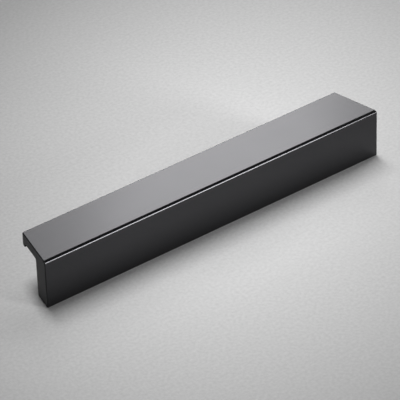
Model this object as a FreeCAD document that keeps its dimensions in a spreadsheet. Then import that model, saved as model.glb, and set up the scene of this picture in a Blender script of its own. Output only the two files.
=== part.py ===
import FreeCAD, Part
import math
import os
import Sketcher

# Bar pull cut from a seven-shaped aluminium extrusion, in millimetres.
# The thick leg stands on the drawer front, the plate on top of it reaches back over the finger gap,
# and a small lip at the plate's rear edge turns down towards the drawer front.
# Both ends are sawn at an angle, so that the bar is longest along the leg's outer face.
# Origin: centre of the leg's lower face, midway between the two screw holes.
# X runs along the bar, Y from the leg's outer face towards the lip, Z away from the drawer front.

SIZES = [
    # screw holes and length
    ("hole_spacing", "160", "distance between the two screw holes"),
    ("end_margin", "14", "from each screw hole to the nearer end, along the leg's outer face"),
    ("mitre_angle", "12", "how far both ends are sawn off square, in degrees"),
    ("tap_drill", "3.3", "drilled diameter of a screw hole, for an M4 thread"),
    ("hole_depth", "12", "depth of the drilled wall"),
    ("mouth_diameter", "4.4", "diameter of the countersink at a hole's mouth"),
    ("drill_point_angle", "118", "angle of the drill's point in degrees"),
    ("mouth_angle", "90", "angle of the countersink in degrees"),
    # section of the extrusion
    ("projection", "25", "height of the pull above the drawer front"),
    ("plate_width", "25", "from the leg's outer face to the lip's rear face"),
    ("leg_thickness", "10.5", "thickness of the leg"),
    ("plate_thickness", "5", "thickness of the plate"),
    ("lip_thickness", "2.5", "thickness of the lip"),
    ("lip_drop", "2", "how far the lip reaches below the plate"),
    # radii of the extrusion's edges
    ("outer_radius", "1.5", "outer corner between leg and plate"),
    ("inner_radius", "0.8", "inner corner between leg and plate"),
    ("lip_tip_radius", "0.9", "both lower edges of the lip"),
    ("lip_root_radius", "0.6", "corner between lip and plate"),
    ("edge_radius", "0.5", "the other long edges"),
    # sawn ends
    ("saw_overrun", "3", "how far the saw runs past the bar's front and rear"),
    ("end_rounding", "0.4", "rounding left by deburring each sawn end"),
]

# places nearer to each other than this are the same
NEAR = 1e-4

doc = FreeCAD.newDocument("bar_pull")

sheet = doc.addObject("Spreadsheet::Sheet", "sizes")
for row, (alias, value, meaning) in enumerate(SIZES, start=1):
    sheet.set(f"A{row}", meaning)
    sheet.set(f"B{row}", value)
    sheet.setAlias(f"B{row}", alias)
doc.recompute()

body = doc.addObject("PartDesign::Body", "pull_bar")
body.Label = "pull_bar"
body.Placement = FreeCAD.Placement()


def origin_feature(role):
    """The body's own origin plane or axis with this role."""
    for feature in body.Origin.OriginFeatures:
        if feature.Role == role:
            return feature
    raise RuntimeError(f"no origin feature {role}")


def new_sketch(name, role):
    """A sketch on one of the body's origin planes."""
    sketch = body.newObject("Sketcher::SketchObject", name)
    sketch.AttachmentSupport = (origin_feature(role), [""])
    sketch.MapMode = "FlatFace"
    return sketch


def bind(sketch, name, expression, *dimension):
    """Adds a named dimension to a sketch and ties it to the sizes."""
    index = sketch.addConstraint(Sketcher.Constraint(*dimension))
    sketch.renameConstraint(index, name)
    sketch.setExpression(f"Constraints.{name}", expression)


def edges_at(feature, y, z):
    """Names of the edges along X whose place in the section is (y, z)."""
    names = []
    for number, edge in enumerate(feature.Shape.Edges, start=1):
        start, end = edge.Vertexes[0].Point, edge.Vertexes[-1].Point
        along_x = abs(start.y - end.y) < NEAR and abs(start.z - end.z) < NEAR
        if along_x and abs(start.y - y) < NEAR and abs(start.z - z) < NEAR:
            names.append(f"Edge{number}")
    if not names:
        raise RuntimeError(f"no long edge at y {y}, z {z}")
    return names


def rim_edges(feature, end, half_leg, slope):
    """Names of the edges that lie wholly in one of the two sawn ends."""
    names = []
    for number, edge in enumerate(feature.Shape.Edges, start=1):
        points = [vertex.Point for vertex in edge.Vertexes]
        in_plane = all(abs(abs(point.x) + (point.y + half_leg) * slope - end) < NEAR for point in points)
        if in_plane and points[0].x * points[-1].x > 0:
            names.append(f"Edge{number}")
    if not names:
        raise RuntimeError("no edges round the sawn ends")
    return names


def round_off(name, base, edges, expression):
    """Rounds these edges of the feature before."""
    fillet = body.newObject("PartDesign::Fillet", name)
    fillet.Base = (base, edges)
    fillet.setExpression("Radius", expression)
    doc.recompute()
    base.Visibility = False
    return fillet


# section of the extrusion, drawn with sharp corners in the plane across the bar
section = new_sketch("section", "YZ_Plane")
half_leg = sheet.leg_thickness / 2
top = float(sheet.projection)
under = top - sheet.plate_thickness
tip = under - sheet.lip_drop
rear = sheet.plate_width - half_leg
lip_front = rear - sheet.lip_thickness
corners = [
    (-half_leg, 0),
    (half_leg, 0),
    (half_leg, under),
    (lip_front, under),
    (lip_front, tip),
    (rear, tip),
    (rear, top),
    (-half_leg, top),
]
points = [FreeCAD.Vector(y, z, 0) for y, z in corners]
count = len(points)
section.addGeometry([Part.LineSegment(points[i], points[(i + 1) % count]) for i in range(count)], False)
foot, leg_inside, underside, lip_inside, lip_tip, back, top_line, leg_outside = range(count)
for i in range(count):
    section.addConstraint(Sketcher.Constraint("Coincident", i, 2, (i + 1) % count, 1))
    section.addConstraint(Sketcher.Constraint("Horizontal" if i % 2 == 0 else "Vertical", i))
section.addConstraint(Sketcher.Constraint("Symmetric", foot, 1, foot, 2, -1, 1))
bind(section, "leg", "sizes.leg_thickness", "DistanceX", foot, 1, foot, 2, 2 * half_leg)
bind(section, "height", "sizes.projection", "DistanceY", leg_outside, 2, leg_outside, 1, top)
bind(section, "width", "sizes.plate_width", "DistanceX", top_line, 2, top_line, 1, rear + half_leg)
bind(section, "plate", "sizes.plate_thickness", "DistanceY", underside, 1, top_line, 2, top - under)
bind(section, "lip_wall", "sizes.lip_thickness", "DistanceX", lip_tip, 1, lip_tip, 2, rear - lip_front)
bind(section, "lip_depth", "sizes.lip_drop", "DistanceY", lip_inside, 2, lip_inside, 1, under - tip)
doc.recompute()
if not section.FullyConstrained:
    raise RuntimeError("the section isn't fully constrained")

# the extrusion, cut to length evenly on both sides of the origin
bar = body.newObject("PartDesign::Pad", "extrusion")
bar.Profile = section
bar.SideType = "Symmetric"
bar.setExpression("Length", "sizes.hole_spacing + 2 * sizes.end_margin")
doc.recompute()
section.Visibility = False

# both ends are sawn at an angle by two cuts that meet the ends of the blank at the leg's outer face;
# what each cut takes away is a right triangle, seen from above
end = sheet.hole_spacing / 2 + sheet.end_margin
slope = math.tan(math.radians(sheet.mitre_angle))
saw_cuts = new_sketch("saw_cuts", "XY_Plane")
near_y = -half_leg - sheet.saw_overrun
far_y = rear + sheet.saw_overrun
near_x = end + sheet.saw_overrun * slope
far_x = near_x - (far_y - near_y) * slope
for side in (1, -1):
    waste = [(side * near_x, near_y), (side * far_x, far_y), (side * near_x, far_y)]
    points = [FreeCAD.Vector(x, y, 0) for x, y in waste]
    saw_cuts.addGeometry([Part.LineSegment(points[i], points[(i + 1) % 3]) for i in range(3)], False)
blade, across, along = range(3)
for first in (0, 3):
    for i in range(3):
        saw_cuts.addConstraint(Sketcher.Constraint("Coincident", first + i, 2, first + (i + 1) % 3, 1))
    saw_cuts.addConstraint(Sketcher.Constraint("Horizontal", first + across))
    saw_cuts.addConstraint(Sketcher.Constraint("Vertical", first + along))
for point in (1, 2):
    saw_cuts.addConstraint(Sketcher.Constraint("Symmetric", blade, point, 3 + blade, point, -2))
bind(
    saw_cuts, "start_x",
    "sizes.hole_spacing / 2 + sizes.end_margin + sizes.saw_overrun * tan(sizes.mitre_angle * 1 deg)",
    "DistanceX", -1, 1, blade, 1, near_x,
)
bind(
    saw_cuts, "start_y", "sizes.leg_thickness / 2 + sizes.saw_overrun",
    "DistanceY", blade, 1, -1, 1, -near_y,
)
bind(
    saw_cuts, "finish_y", "sizes.plate_width - sizes.leg_thickness / 2 + sizes.saw_overrun",
    "DistanceY", -1, 1, blade, 2, far_y,
)
bind(
    saw_cuts, "finish_x", "(sizes.plate_width + 2 * sizes.saw_overrun) * tan(sizes.mitre_angle * 1 deg)",
    "DistanceX", blade, 2, blade, 1, near_x - far_x,
)
doc.recompute()
if not saw_cuts.FullyConstrained:
    raise RuntimeError("the saw cuts aren't fully constrained")
sawn = body.newObject("PartDesign::Pocket", "sawn_ends")
sawn.Profile = saw_cuts
sawn.Type = "ThroughAll"
sawn.Reversed = True
doc.recompute()
saw_cuts.Visibility = False
bar.Visibility = False

# radii of the extrusion's long edges, the larger ones limited by the wall that they are on
rounded = round_off(
    "outer_corner", sawn, edges_at(sawn, -half_leg, top),
    "min(sizes.outer_radius; 0.9 * sizes.plate_thickness)",
)
rounded = round_off("inner_corner", rounded, edges_at(rounded, half_leg, under), "sizes.inner_radius")
rounded = round_off(
    "lip_edges", rounded, edges_at(rounded, lip_front, tip) + edges_at(rounded, rear, tip),
    "min(sizes.lip_tip_radius; 0.45 * sizes.lip_thickness)",
)
rounded = round_off(
    "lip_root", rounded, edges_at(rounded, lip_front, under),
    "min(sizes.lip_root_radius; 0.45 * sizes.lip_drop)",
)
fine_places = [(-half_leg, 0), (half_leg, 0), (rear, top)]
fine_edges = [name for y, z in fine_places for name in edges_at(rounded, y, z)]
rounded = round_off("fine_edges", rounded, fine_edges, "sizes.edge_radius")

# deburring round both sawn ends
deburred = round_off(
    "deburred_ends", rounded, rim_edges(rounded, end, half_leg, slope),
    "min(sizes.end_rounding; 0.8 * sizes.edge_radius)",
)

# two blind screw holes, drilled into the leg's lower face and tapped for M4
hole_places = new_sketch("hole_places", "XY_Plane")
half_spacing = sheet.hole_spacing / 2
drill_radius = sheet.tap_drill / 2
up = FreeCAD.Vector(0, 0, 1)
hole_places.addGeometry(
    [Part.Circle(FreeCAD.Vector(side * half_spacing, 0, 0), up, drill_radius) for side in (-1, 1)], False
)
hole_places.addConstraint(Sketcher.Constraint("Symmetric", 0, 3, 1, 3, -1, 1))
hole_places.addConstraint(Sketcher.Constraint("PointOnObject", 1, 3, -1))
hole_places.addConstraint(Sketcher.Constraint("Equal", 0, 1))
bind(hole_places, "spacing", "sizes.hole_spacing", "DistanceX", 0, 3, 1, 3, 2 * half_spacing)
bind(hole_places, "drill", "sizes.tap_drill", "Diameter", 0, 2 * drill_radius)
doc.recompute()
if not hole_places.FullyConstrained:
    raise RuntimeError("the hole places aren't fully constrained")

solid_volume = deburred.Shape.Volume
holes = body.newObject("PartDesign::Hole", "screw_holes")
holes.Profile = hole_places
doc.recompute()
holes.Reversed = True
holes.DepthType = "Dimension"
holes.DrillPoint = "Angled"
holes.HoleCutType = "Countersink"
holes.setExpression("Diameter", "sizes.tap_drill")
holes.setExpression("Depth", "sizes.hole_depth")
holes.setExpression("DrillPointAngle", "sizes.drill_point_angle")
holes.setExpression("HoleCutDiameter", "sizes.mouth_diameter")
holes.setExpression("HoleCutCountersinkAngle", "sizes.mouth_angle")
doc.recompute()
hole_places.Visibility = False
deburred.Visibility = False
drilled = solid_volume - holes.Shape.Volume
expected = 2 * math.pi * drill_radius ** 2 * sheet.hole_depth
if not expected < drilled < 1.3 * expected:
    raise RuntimeError(f"the screw holes take away {drilled:.1f} cubic millimetres, not about {expected:.1f}")

for item in doc.Objects:
    if "Invalid" in item.State or "Error" in item.State:
        raise RuntimeError(f"{item.Name} has state {item.State}")
if body.Shape.isNull() or not body.Shape.isValid() or len(body.Shape.Solids) != 1:
    raise RuntimeError("the bar isn't one valid solid")

os.makedirs("parts", exist_ok=True)
body.Shape.exportStep(f"parts/{body.Label}.step")
box = body.Shape.BoundBox
print(f"pull_bar {box.XLength:.2f} x {box.YLength:.2f} x {box.ZLength:.2f} mm, {body.Shape.Volume:.0f} mm3")
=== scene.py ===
import math

import bpy
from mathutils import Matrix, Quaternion, Vector


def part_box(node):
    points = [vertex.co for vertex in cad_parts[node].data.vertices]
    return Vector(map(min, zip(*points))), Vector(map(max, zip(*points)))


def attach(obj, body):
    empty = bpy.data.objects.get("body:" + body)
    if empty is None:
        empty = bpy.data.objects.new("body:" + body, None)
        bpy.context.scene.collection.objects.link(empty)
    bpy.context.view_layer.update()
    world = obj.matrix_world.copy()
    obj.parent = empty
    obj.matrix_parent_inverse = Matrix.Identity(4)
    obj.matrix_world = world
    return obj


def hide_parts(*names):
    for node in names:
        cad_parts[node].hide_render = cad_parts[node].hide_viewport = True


bl_info = {
    "name": "Bar Pull",
    "version": (1, 0, 0),
    "blender": (4, 5, 0),
    "location": "View3D > Sidebar > Bar Pull",
    "description": "Models a black bar pull of seven-shaped section and sets it in a plain studio",
    "category": "Object",
}

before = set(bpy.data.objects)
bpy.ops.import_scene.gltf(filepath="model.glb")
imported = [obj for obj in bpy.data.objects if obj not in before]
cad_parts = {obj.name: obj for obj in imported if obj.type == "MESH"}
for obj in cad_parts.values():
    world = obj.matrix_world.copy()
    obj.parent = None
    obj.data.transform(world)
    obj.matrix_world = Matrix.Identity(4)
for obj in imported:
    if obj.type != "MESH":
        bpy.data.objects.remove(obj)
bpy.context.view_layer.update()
LOW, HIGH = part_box("pull_bar")

# two places on the bar count as one below this distance, which is far below its smallest radius
NEAR = 1e-5
# an operator merges two points of a mesh below this distance
SAME_POINT = 1e-7
# a face looks along an axis if its normal has more than this along it
FACING = 0.9

# at a scale of 1, one blob of a Noise texture and one ring of a Wave texture are this wide
NOISE_BLOB = 0.5
WAVE_RING = 0.314
# the black's gloss is very faintly violet
GLOSS_TINT = (0.945, 0.935, 1, 1)

# where the camera stands and how it is turned
CAMERA_PLACE = (-0.66592, -0.908938, 0.803221)
CAMERA_TURN = (math.radians(54.962), math.radians(1.627), math.radians(-37.14))


class BarPullSizes(bpy.types.PropertyGroup):
    """Sizes of the bar, with X along it, Y from the leg towards the lip and Z off the drawer front"""

    length: bpy.props.FloatProperty(
        name="Length", description="Length of the bar along the leg's outer face",
        default=0.188, min=0.02, subtype="DISTANCE", unit="LENGTH",
    )
    mitre: bpy.props.FloatProperty(
        name="Mitre", description="How far both ends are sawn off square",
        default=math.radians(12), min=0, max=0.8, subtype="ANGLE", unit="ROTATION",
    )
    projection: bpy.props.FloatProperty(
        name="Projection", description="Height of the pull above the drawer front",
        default=HIGH.z, min=0.01, subtype="DISTANCE", unit="LENGTH",
    )
    leg_thickness: bpy.props.FloatProperty(
        name="Leg thickness", description="Thickness of the leg that stands on the drawer front",
        default=-2 * LOW.y, min=0.004, subtype="DISTANCE", unit="LENGTH",
    )
    plate_width: bpy.props.FloatProperty(
        name="Plate width", description="From the leg's outer face to the lip's rear face",
        default=HIGH.y - LOW.y, min=0.01, subtype="DISTANCE", unit="LENGTH",
    )
    plate_thickness: bpy.props.FloatProperty(
        name="Plate thickness", description="Thickness of the plate over the finger gap",
        default=0.005, min=0.001, subtype="DISTANCE", unit="LENGTH",
    )
    lip_thickness: bpy.props.FloatProperty(
        name="Lip thickness", description="Thickness of the lip at the plate's rear edge",
        default=0.0025, min=0.0005, subtype="DISTANCE", unit="LENGTH",
    )
    lip_drop: bpy.props.FloatProperty(
        name="Lip drop", description="How far the lip reaches below the plate",
        default=0.002, min=0.0005, subtype="DISTANCE", unit="LENGTH",
    )
    outer_radius: bpy.props.FloatProperty(
        name="Outer radius", description="Outer corner between leg and plate",
        default=0.0015, min=0.0001, subtype="DISTANCE", unit="LENGTH",
    )
    inner_radius: bpy.props.FloatProperty(
        name="Inner radius", description="Inner corner between leg and plate",
        default=0.0008, min=0.0001, subtype="DISTANCE", unit="LENGTH",
    )
    lip_tip_radius: bpy.props.FloatProperty(
        name="Lip tip radius", description="Both lower edges of the lip",
        default=0.0009, min=0.0001, subtype="DISTANCE", unit="LENGTH",
    )
    lip_root_radius: bpy.props.FloatProperty(
        name="Lip root radius", description="Corner between lip and plate",
        default=0.0006, min=0.0001, subtype="DISTANCE", unit="LENGTH",
    )
    edge_radius: bpy.props.FloatProperty(
        name="Edge radius", description="The other long edges of the extrusion",
        default=0.0005, min=0.0001, subtype="DISTANCE", unit="LENGTH",
    )
    end_rounding: bpy.props.FloatProperty(
        name="End rounding", description="Deburring round each sawn end",
        default=0.00046, min=0.00005, subtype="DISTANCE", unit="LENGTH",
    )


class BarPullHoles(bpy.types.PropertyGroup):
    """Sizes of the two blind screw holes in the leg's lower face"""

    spacing: bpy.props.FloatProperty(
        name="Spacing", description="Distance between the two screw holes",
        default=0.16, min=0.01, subtype="DISTANCE", unit="LENGTH",
    )
    tap_drill: bpy.props.FloatProperty(
        name="Tap drill", description="Drilled diameter of a hole",
        default=0.0033, min=0.001, subtype="DISTANCE", unit="LENGTH",
    )
    depth: bpy.props.FloatProperty(
        name="Depth", description="Depth of the drilled wall",
        default=0.012, min=0.002, subtype="DISTANCE", unit="LENGTH",
    )
    mouth: bpy.props.FloatProperty(
        name="Mouth", description="Diameter of the countersink at a hole's mouth",
        default=0.0044, min=0.001, subtype="DISTANCE", unit="LENGTH",
    )
    point_angle: bpy.props.FloatProperty(
        name="Point angle", description="Angle of the drill's point",
        default=math.radians(118), min=1, max=3, subtype="ANGLE", unit="ROTATION",
    )
    thread: bpy.props.FloatProperty(
        name="Thread", description="Outer diameter of the screw thread",
        default=0.004, min=0.001, subtype="DISTANCE", unit="LENGTH",
    )
    pitch: bpy.props.FloatProperty(
        name="Pitch", description="Rise of the thread in one turn",
        default=0.0007, min=0.0002, subtype="DISTANCE", unit="LENGTH",
    )
    tapped: bpy.props.FloatProperty(
        name="Tapped depth", description="Depth of the thread, which ends short of the drilled wall",
        default=0.0105, min=0.002, subtype="DISTANCE", unit="LENGTH",
    )


class BarPullFinish(bpy.types.PropertyGroup):
    """The satin black finish"""

    black: bpy.props.FloatVectorProperty(
        name="Black", description="Colour of the anodised skin",
        default=(0.007, 0.007, 0.0073), size=3, min=0, max=1, subtype="COLOR",
    )
    gloss_width: bpy.props.FloatProperty(
        name="Roughness", description="How wide the satin gloss spreads",
        default=0.16, min=0.05, max=1, subtype="FACTOR",
    )
    grain: bpy.props.FloatProperty(
        name="Grain", description="Width of one grain of the etched surface",
        default=0.0003, min=0.00005, subtype="DISTANCE", unit="LENGTH",
    )
    saw_pitch: bpy.props.FloatProperty(
        name="Saw mark pitch", description="Distance between two saw marks on a sawn end",
        default=0.0005, min=0.00005, subtype="DISTANCE", unit="LENGTH",
    )


class BarPullStudio(bpy.types.PropertyGroup):
    """Floor and camera"""

    floor: bpy.props.FloatVectorProperty(
        name="Floor", description="Colour of the floor",
        default=(0.94, 0.94, 0.94), size=3, min=0, max=1, subtype="COLOR",
    )
    lens: bpy.props.FloatProperty(
        name="Lens", description="Focal length for a sensor 36 mm wide",
        default=273.89, min=10, subtype="DISTANCE_CAMERA",
    )


def deselect_all():
    """Leaves edit mode and deselects every object."""
    if bpy.context.mode != "OBJECT":
        bpy.ops.object.mode_set(mode="OBJECT")
    bpy.ops.object.select_all(action="DESELECT")


def take(piece):
    """Makes this object the only one selected, and the active one."""
    deselect_all()
    piece.select_set(True)
    bpy.context.view_layer.objects.active = piece


def name_piece(name):
    """Names the new object and its mesh, and puts its place into the mesh."""
    piece = bpy.context.object
    piece.name = name
    piece.data.name = name
    bpy.ops.object.transform_apply(location=True, rotation=True, scale=True)
    return piece


def corners_of(piece, item):
    """Places of the corners of a face or edge."""
    return [piece.data.vertices[i].co for i in item.vertices]


def pick(piece, kind, wanted):
    """Selects the faces, edges or points of a piece that are wanted, and leaves it in edit mode."""
    bpy.ops.object.mode_set(mode="EDIT")
    bpy.ops.mesh.select_mode(type=kind)
    bpy.ops.mesh.select_all(action="DESELECT")
    bpy.ops.object.mode_set(mode="OBJECT")
    items = {"FACE": piece.data.polygons, "EDGE": piece.data.edges, "VERT": piece.data.vertices}[kind]
    found = [item for item in items if wanted(item)]
    if not found:
        raise RuntimeError(f"nothing to select on {piece.name}")
    for item in found:
        item.select = True
    bpy.ops.object.mode_set(mode="EDIT")


def pull_face(piece, wanted, step):
    """Extrudes the wanted faces by a step."""
    pick(piece, "FACE", wanted)
    bpy.ops.mesh.extrude_region_move(TRANSFORM_OT_translate={"value": step})


def cut(place, normal, **clearing):
    """Cuts the whole mesh of the active piece along a plane, and clears away one side if asked to."""
    bpy.ops.object.mode_set(mode="EDIT")
    bpy.ops.mesh.select_all(action="SELECT")
    bpy.ops.mesh.bisect(plane_co=place, plane_no=normal, threshold=SAME_POINT, **clearing)


def weld(gap):
    """Merges the points of the active piece that lie nearer together than this gap."""
    bpy.ops.object.mode_set(mode="EDIT")
    bpy.ops.mesh.select_all(action="SELECT")
    bpy.ops.mesh.remove_doubles(threshold=gap)


def round_edges(piece, wanted, radius, segments):
    """Rounds the wanted edges."""
    pick(piece, "EDGE", wanted)
    bpy.ops.mesh.bevel(
        offset=radius, segments=segments, profile=0.5, affect="EDGES", clamp_overlap=False
    )


def apply_modifier(piece, kind, **settings):
    """Adds a modifier with these settings and applies it."""
    take(piece)
    modifier = piece.modifiers.new(kind.title(), kind)
    for name, value in settings.items():
        setattr(modifier, name, value)
    bpy.ops.object.modifier_apply(modifier=modifier.name)


def towards_end(corner, side, sizes):
    """How far along the bar a corner lies, measured as if this end of the bar were sawn square."""
    return side * corner.x + (corner.y + sizes.leg_thickness / 2) * math.tan(sizes.mitre)


def round_long_edges(bar, places, radius, segments):
    """Rounds the long edges at these places of the section."""
    def wanted(edge):
        first, last = corners_of(bar, edge)
        return abs(first.x - last.x) > NEAR and any(
            abs(first.y - y) < NEAR and abs(first.z - z) < NEAR for y, z in places
        )
    round_edges(bar, wanted, radius, segments)


def saw_end(bar, side, sizes):
    """Saws one end off at its slant and deburrs it all round."""
    def wanted(edge):
        return all(
            abs(towards_end(corner, side, sizes) - sizes.length / 2) < NEAR
            for corner in corners_of(bar, edge)
        )
    outwards = (side * math.cos(sizes.mitre), math.sin(sizes.mitre), 0)
    outer_corner = (side * sizes.length / 2, -sizes.leg_thickness / 2, 0)
    cut(outer_corner, outwards, use_fill=True, clear_outer=True)
    round_edges(bar, wanted, radius=sizes.end_rounding, segments=3)


def model_extrusion(sizes):
    """The bar without its holes: a leg, a plate pulled out of its top and a lip pulled down."""
    half_leg = sizes.leg_thickness / 2
    top = sizes.projection
    under = top - sizes.plate_thickness
    rear = sizes.plate_width - half_leg
    lip_front = rear - sizes.lip_thickness
    tip = under - sizes.lip_drop
    spare_length = 0.01
    flat = math.radians(1)

    deselect_all()
    bpy.ops.mesh.primitive_cube_add(
        size=1, location=(0, 0, top / 2),
        scale=(sizes.length + spare_length, sizes.leg_thickness, top),
    )
    bar = name_piece("satin_bar")

    cut((0, 0, under), (0, 0, 1))
    pull_face(
        bar, lambda face: face.normal.y > FACING and face.center.z > under, (0, rear - half_leg, 0)
    )
    cut((0, lip_front, 0), (0, 1, 0))
    pull_face(
        bar, lambda face: face.normal.z < -FACING and face.center.y > lip_front,
        (0, 0, -sizes.lip_drop),
    )
    bpy.ops.mesh.select_all(action="SELECT")
    bpy.ops.mesh.dissolve_limited(angle_limit=flat)

    # where the long edges run through the section, their radius and the steps of their rounding
    long_edges = (
        ([(-half_leg, top)], sizes.outer_radius, 14),
        ([(half_leg, under)], sizes.inner_radius, 8),
        ([(lip_front, tip), (rear, tip)], sizes.lip_tip_radius, 10),
        ([(lip_front, under)], sizes.lip_root_radius, 6),
        ([(-half_leg, 0), (half_leg, 0), (rear, top)], sizes.edge_radius, 6),
    )
    for places, radius, segments in long_edges:
        round_long_edges(bar, places, radius, segments)
    for side in (-1, 1):
        saw_end(bar, side, sizes)
    return bar


def on_sawn_end(bar, face, sizes):
    """Whether a face lies on one of the sawn ends or on the rounding round it."""
    # half as much again as the rounding's width, because it reaches further along the bar at a slant
    inside = sizes.length / 2 - 1.5 * sizes.end_rounding
    corners = corners_of(bar, face)
    return any(all(towards_end(corner, side, sizes) > inside for corner in corners) for side in (-1, 1))


def model_drill(holes):
    """What the drill and the countersink take away at one hole, standing on the origin."""
    radius = holes.tap_drill / 2
    point = radius / math.tan(holes.point_angle / 2)
    flare = holes.mouth / 2 - radius
    widen = holes.mouth / holes.tap_drill
    # the rod reaches this far out of the face that it is drilled into
    overrun = 0.001
    sides = 64

    deselect_all()
    bpy.ops.mesh.primitive_cylinder_add(
        vertices=sides, radius=radius, depth=holes.depth + overrun,
        location=(0, 0, (holes.depth - overrun) / 2),
    )
    drill = name_piece("drill")
    pull_face(drill, lambda face: face.normal.z > FACING, (0, 0, point))
    bpy.ops.mesh.merge(type="COLLAPSE")
    cut((0, 0, 0), (0, 0, 1))
    cut((0, 0, flare), (0, 0, 1))
    pick(drill, "VERT", lambda corner: corner.co.z < NEAR)
    bpy.ops.transform.resize(value=(widen, widen, 1), center_override=(0, 0, 0))
    return drill


def model_tap(holes):
    """What the tap takes away at one hole: a rod with a right-handed 60 degree thread."""
    # the rod is thinner than the drilled hole, so that only the thread cuts
    clearance = 0.00008
    half_angle = math.radians(30)
    crest = holes.thread / 2
    root = holes.tap_drill / 2 - clearance
    flank = (crest - root) * math.tan(half_angle)
    crest_flat = holes.pitch / 8
    root_flat = holes.pitch - crest_flat - 2 * flank
    below = 2 * holes.pitch
    start = -0.4 * holes.pitch
    turns = math.ceil((holes.tapped + 2 * below) / holes.pitch)
    steps = 40
    seam = 1e-6

    # a small plane is merged into one point, which is then pulled along the thread's profile
    deselect_all()
    bpy.ops.mesh.primitive_plane_add(size=0.001, location=(root, 0, -below))
    tap = name_piece("tap")
    bpy.ops.object.mode_set(mode="EDIT")
    bpy.ops.mesh.select_mode(type="VERT")
    bpy.ops.mesh.select_all(action="SELECT")
    bpy.ops.mesh.merge(type="CENTER")
    profile = ((crest - root, flank), (0, crest_flat), (root - crest, flank), (0, root_flat))
    for outwards, upwards in profile:
        bpy.ops.mesh.extrude_vertices_move(TRANSFORM_OT_translate={"value": (outwards, 0, upwards)})
    bpy.ops.object.mode_set(mode="OBJECT")
    apply_modifier(
        tap, "SCREW", axis="Z", angle=math.tau, screw_offset=holes.pitch, iterations=turns,
        steps=steps, render_steps=steps, use_merge_vertices=True, merge_threshold=SAME_POINT,
    )
    weld(seam)
    cut((0, 0, start), (0, 0, 1), use_fill=True, clear_inner=True)
    cut((0, 0, holes.tapped), (0, 0, 1), use_fill=True, clear_outer=True)
    bpy.ops.mesh.select_all(action="SELECT")
    bpy.ops.mesh.normals_make_consistent(inside=False)
    return tap


def sink(bar, cutter, spacing):
    """Takes a cutter out of the bar at both holes, and clears it away."""
    sliver = 2e-6
    for side in (-1, 1):
        take(cutter)
        bpy.ops.object.duplicate()
        copy = bpy.context.object
        bpy.ops.transform.translate(value=(side * spacing / 2, 0, 0))
        bpy.ops.object.transform_apply(location=True, rotation=True, scale=True)
        apply_modifier(bar, "BOOLEAN", object=copy, operation="DIFFERENCE", solver="EXACT")
        take(copy)
        bpy.ops.object.delete()
    take(cutter)
    bpy.ops.object.delete()
    take(bar)
    weld(sliver)
    bpy.ops.object.mode_set(mode="OBJECT")


def mix_colours(tree, factor, first, second):
    """A Mix node between two plain colours."""
    mix = tree.nodes.new("ShaderNodeMix")
    mix.data_type = "RGBA"
    tree.links.new(factor, mix.inputs["Factor"])
    mix.inputs["A"].default_value = (*first, 1)
    mix.inputs["B"].default_value = (*second, 1)
    return mix.outputs["Result"]


def ramp(tree, value, low, high, start=0, stop=1):
    """A Map Range node that takes start..stop to low..high."""
    spread = tree.nodes.new("ShaderNodeMapRange")
    spread.inputs["From Min"].default_value = start
    spread.inputs["From Max"].default_value = stop
    spread.inputs["To Min"].default_value = low
    spread.inputs["To Max"].default_value = high
    tree.links.new(value, spread.inputs["Value"])
    return spread.outputs["Result"]


def arithmetic(tree, operation, *terms):
    """A Math node on these outputs, held between 0 and 1."""
    node = tree.nodes.new("ShaderNodeMath")
    node.operation = operation
    node.use_clamp = True
    for socket, term in zip(node.inputs, terms):
        tree.links.new(term, socket)
    return node.outputs["Value"]


def noise(tree, vector, scale, detail):
    """A Noise node on these coordinates."""
    texture = tree.nodes.new("ShaderNodeTexNoise")
    texture.inputs["Scale"].default_value = scale
    texture.inputs["Detail"].default_value = detail
    tree.links.new(vector, texture.inputs["Vector"])
    return texture.outputs["Fac"]


def mapped(tree, vector, kind="POINT", **settings):
    """Coordinates moved, turned or stretched by a Mapping node, or with TEXTURE the pattern itself."""
    mapping = tree.nodes.new("ShaderNodeMapping")
    mapping.vector_type = kind
    for name, value in settings.items():
        mapping.inputs[name.title()].default_value = value
    tree.links.new(vector, mapping.inputs["Vector"])
    return mapping.outputs["Vector"]


def bump(tree, height, distance, strength, under=None):
    """A Bump node, laid over an earlier one."""
    node = tree.nodes.new("ShaderNodeBump")
    node.inputs["Strength"].default_value = strength
    node.inputs["Distance"].default_value = distance
    tree.links.new(height, node.inputs["Height"])
    if under:
        tree.links.new(under, node.inputs["Normal"])
    return node.outputs["Normal"]


def etched(tree, where, finish, under):
    """The fine grain of the etched metal, laid over an earlier bump."""
    grain = noise(tree, where, scale=NOISE_BLOB / finish.grain, detail=2)
    return bump(tree, grain, distance=0.000006, strength=0.35, under=under)


def start_black(name, finish, index):
    """A black material: its tree, shader, Object coordinates and the cloudiness of its colour."""
    material = bpy.data.materials.new(name)
    material.use_nodes = True
    tree = material.node_tree
    shader = tree.nodes["Principled BSDF"]
    shader.inputs["IOR"].default_value = index
    shader.inputs["Specular Tint"].default_value = GLOSS_TINT
    where = tree.nodes.new("ShaderNodeTexCoord").outputs["Object"]
    cloud = noise(tree, where, scale=45, detail=3)
    darkest, lightest = (tuple(share * part for part in finish.black) for share in (0.8, 1.25))
    tree.links.new(mix_colours(tree, cloud, darkest, lightest), shader.inputs["Base Color"])
    return material, tree, shader, where, cloud


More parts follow.
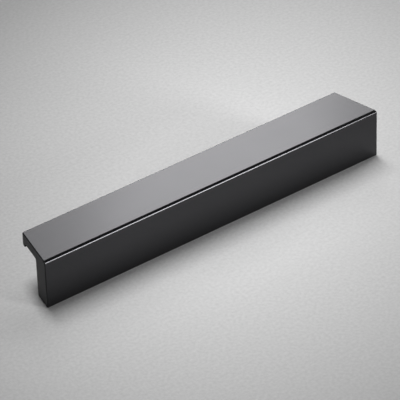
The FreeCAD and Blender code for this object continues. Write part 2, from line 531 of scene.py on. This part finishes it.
def anodised_skin(finish):
    """Anodised skin of the extrusion: etched grain, and the faint lines of the press along the bar."""
    material, tree, shader, where, cloud = start_black("anodised_skin", finish, index=1.49)
    press = noise(tree, mapped(tree, where, scale=(1, 260, 260)), scale=8, detail=4)
    streaks = ramp(tree, press, low=finish.gloss_width - 0.025, high=finish.gloss_width + 0.015)
    clouds = ramp(tree, cloud, low=-0.015, high=0.025)
    tree.links.new(arithmetic(tree, "ADD", streaks, clouds), shader.inputs["Roughness"])
    lines = bump(tree, press, distance=0.000004, strength=0.3)
    tree.links.new(etched(tree, where, finish, lines), shader.inputs["Normal"])
    return material


def sawn_face(finish):
    """Sawn and anodised end: the skin's black with faint arcs of the saw blade."""
    material, tree, shader, where, cloud = start_black("sawn_face", finish, index=1.3)
    arcs = tree.nodes.new("ShaderNodeTexWave")
    arcs.wave_type = "RINGS"
    arcs.rings_direction = "X"
    arcs.inputs["Scale"].default_value = WAVE_RING / finish.saw_pitch
    arcs.inputs["Distortion"].default_value = 1.2
    arcs.inputs["Detail"].default_value = 2
    arcs.inputs["Detail Scale"].default_value = 0.6
    # the blade's middle lies below the bar and in front of it
    tree.links.new(mapped(tree, where, location=(0, 0.06, 0.14)), arcs.inputs["Vector"])
    clouds = ramp(tree, cloud, low=finish.gloss_width + 0.3, high=finish.gloss_width + 0.36)
    tree.links.new(clouds, shader.inputs["Roughness"])
    marks = bump(tree, arcs.outputs["Fac"], distance=0.000005, strength=0.4)
    tree.links.new(etched(tree, where, finish, marks), shader.inputs["Normal"])
    return material


class BARPULL_OT_bar(bpy.types.Operator):
    """Model the bar: extruded, sawn, drilled, tapped and anodised"""

    bl_idname = "bar_pull.bar"
    bl_label = "Model the Bar"

    def execute(self, context):
        """Models the bar and puts it in the place of the CAD node."""
        scene = context.scene
        sizes = scene.bar_pull_sizes
        holes = scene.bar_pull_holes
        smooth_up_to = math.radians(32)
        bar = model_extrusion(sizes)
        sink(bar, model_drill(holes), holes.spacing)
        sink(bar, model_tap(holes), holes.spacing)

        bar.data.materials.clear()
        bar.data.materials.append(anodised_skin(scene.bar_pull_finish))
        bar.data.materials.append(sawn_face(scene.bar_pull_finish))
        for face in bar.data.polygons:
            face.material_index = 1 if on_sawn_end(bar, face, sizes) else 0
        take(bar)
        bpy.ops.object.shade_smooth_by_angle(angle=smooth_up_to)
        apply_modifier(bar, "WEIGHTED_NORMAL", mode="FACE_AREA", weight=50, keep_sharp=True)

        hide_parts("pull_bar")
        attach(bar, "root")
        return {"FINISHED"}


def add_softbox(name, direction, distance, size, brightness, roll=0):
    """A rectangular lamp of even brightness, which faces the bar from this direction and distance."""
    away = Vector(direction).normalized()
    turn = (away.to_track_quat("Z", "Y") @ Quaternion((0, 0, 1), roll)).to_euler()
    deselect_all()
    bpy.ops.object.light_add(type="AREA", location=away * distance, rotation=turn)
    lamp = bpy.context.object
    lamp.name = name
    lamp.data.shape = "RECTANGLE"
    lamp.data.size, lamp.data.size_y = size
    lamp.data.energy = brightness * math.pi * size[0] * size[1]


def floor_paint(colour):
    """Matt pale floor with a faint grain and a painted pool of light: its colour is lightest in an oval
    under the bar and darker outside it, painted in place of the lamps' falloff.
    """
    material = bpy.data.materials.new("floor_paint")
    material.use_nodes = True
    tree = material.node_tree
    shader = tree.nodes["Principled BSDF"]
    shader.inputs["Roughness"].default_value = 0.9
    shader.inputs["Specular IOR Level"].default_value = 0.2
    where = tree.nodes.new("ShaderNodeTexCoord").outputs["Object"]
    # middle, turn and half widths of the painted pool of light, whose rim is soft
    oval = mapped(
        tree, where, kind="TEXTURE",
        location=(0.0175, 0.0152, 0), rotation=(0, 0, math.radians(-47.3)), scale=(0.171, 0.25, 1),
    )
    pool = tree.nodes.new("ShaderNodeTexGradient")
    pool.gradient_type = "SPHERICAL"
    tree.links.new(oval, pool.inputs["Vector"])
    # painted light: the floor's colour is full in the pool's core and falls to 0.44 of it outside, as
    # if lit less there
    light = ramp(tree, pool.outputs["Fac"], low=0.44, high=1, stop=0.73)
    grain = ramp(tree, noise(tree, where, scale=650, detail=5), low=0.8, high=1.12)
    # the painted light of the pool times the floor's real grain
    painted_light_and_grain = arithmetic(tree, "MULTIPLY", light, grain)
    tree.links.new(mix_colours(tree, painted_light_and_grain, (0, 0, 0), tuple(colour)), shader.inputs["Base Color"])
    return material


def dim_room():
    """World: a dark room with grey walls, which are seen and mirrored but give little light."""
    world = bpy.data.worlds.new("dim_room")
    world.use_nodes = True
    tree = world.node_tree
    where = tree.nodes.new("ShaderNodeTexCoord").outputs["Generated"]
    height = tree.nodes.new("ShaderNodeSeparateXYZ")
    tree.links.new(where, height.inputs["Vector"])
    walls = ramp(tree, height.outputs["Z"], low=1, high=0.05, start=0.55, stop=0.72)
    ray = tree.nodes.new("ShaderNodeLightPath").outputs
    seen = arithmetic(tree, "ADD", ray["Is Camera Ray"], ray["Is Glossy Ray"])
    seen = arithmetic(tree, "ADD", seen, ray["Is Transmission Ray"])
    level = ramp(tree, seen, low=0.05, high=0.35)
    background = tree.nodes["Background"]
    background.inputs["Color"].default_value = (1, 1, 1, 1)
    tree.links.new(arithmetic(tree, "MULTIPLY", walls, level), background.inputs["Strength"])
    return world


class BARPULL_OT_stage(bpy.types.Operator):
    """Set up the floor, the light and the camera"""

    bl_idname = "bar_pull.stage"
    bl_label = "Set the Stage"

    def execute(self, context):
        """Adds the floor, the softboxes, the dim room and the camera."""
        scene = context.scene
        studio = scene.bar_pull_studio
        floor_width = 8
        deselect_all()
        bpy.ops.mesh.primitive_plane_add(size=floor_width, location=(0, 0, 0))
        floor = bpy.context.object
        floor.name = "studio_floor"
        floor.data.materials.append(floor_paint(studio.floor))

        add_softbox(
            "top_reflection", direction=(0.49, 0.66, 0.57), distance=1.4,
            size=(0.42, 0.35), brightness=2.83,
        )
        add_softbox(
            "top_reflection_core", direction=(0.49, 0.66, 0.57), distance=1.39,
            size=(0.22, 0.35), brightness=2.6,
        )
        add_softbox(
            "corner_reflection", direction=(0.46, -0.85, 0.18), distance=1.5,
            size=(0.36, 0.5), brightness=23, roll=math.radians(6),
        )
        add_softbox(
            "overhead_softbox", direction=(0.08, 0.33, 0.94), distance=1.4,
            size=(0.38, 0.86), brightness=9.7,
        )
        add_softbox(
            "right_softbox", direction=(0.77, 0.29, 0.57), distance=1.1,
            size=(0.46, 0.42), brightness=3.8,
        )
        add_softbox(
            "left_fill", direction=(-0.5, 0.45, 0.74), distance=1.5,
            size=(0.9, 0.9), brightness=0.3,
        )

        scene.world = dim_room()
        scene.view_settings.view_transform = "Standard"
        bpy.ops.object.camera_add(location=CAMERA_PLACE, rotation=CAMERA_TURN)
        camera = bpy.context.object
        camera.name = "studio_camera"
        camera.data.sensor_width = 36
        camera.data.lens = studio.lens
        camera.data.clip_start = 0.01
        scene.camera = camera
        return {"FINISHED"}


class BARPULL_PT_sidebar(bpy.types.Panel):
    """Sizes, finish and buttons of the bar pull"""

    bl_idname = "BARPULL_PT_sidebar"
    bl_label = "Bar Pull"
    bl_space_type = "VIEW_3D"
    bl_region_type = "UI"
    bl_category = "Bar Pull"

    def draw(self, context):
        """Draws every size and colour, and a button for each step."""
        for group in SETTINGS:
            settings = getattr(context.scene, group)
            box = self.layout.box()
            for name in settings.bl_rna.properties.keys():
                if name not in ("rna_type", "name"):
                    box.prop(settings, name)
        for step in STEPS:
            self.layout.operator(step.bl_idname)


SETTINGS = {
    "bar_pull_sizes": BarPullSizes,
    "bar_pull_holes": BarPullHoles,
    "bar_pull_finish": BarPullFinish,
    "bar_pull_studio": BarPullStudio,
}
STEPS = (BARPULL_OT_bar, BARPULL_OT_stage)
CLASSES = (*SETTINGS.values(), *STEPS, BARPULL_PT_sidebar)


def register():
    """Registers the classes and hangs their settings on the scene."""
    for item in CLASSES:
        bpy.utils.register_class(item)
    for name, group in SETTINGS.items():
        setattr(bpy.types.Scene, name, bpy.props.PointerProperty(type=group))


def unregister():
    """Takes the settings and the classes away again."""
    for name in SETTINGS:
        delattr(bpy.types.Scene, name)
    for item in reversed(CLASSES):
        bpy.utils.unregister_class(item)


def main():
    """Registers the add-on, models the bar and sets the stage."""
    register()
    bpy.ops.bar_pull.bar()
    bpy.ops.bar_pull.stage()
    deselect_all()


if __name__ == "__main__":
    main()
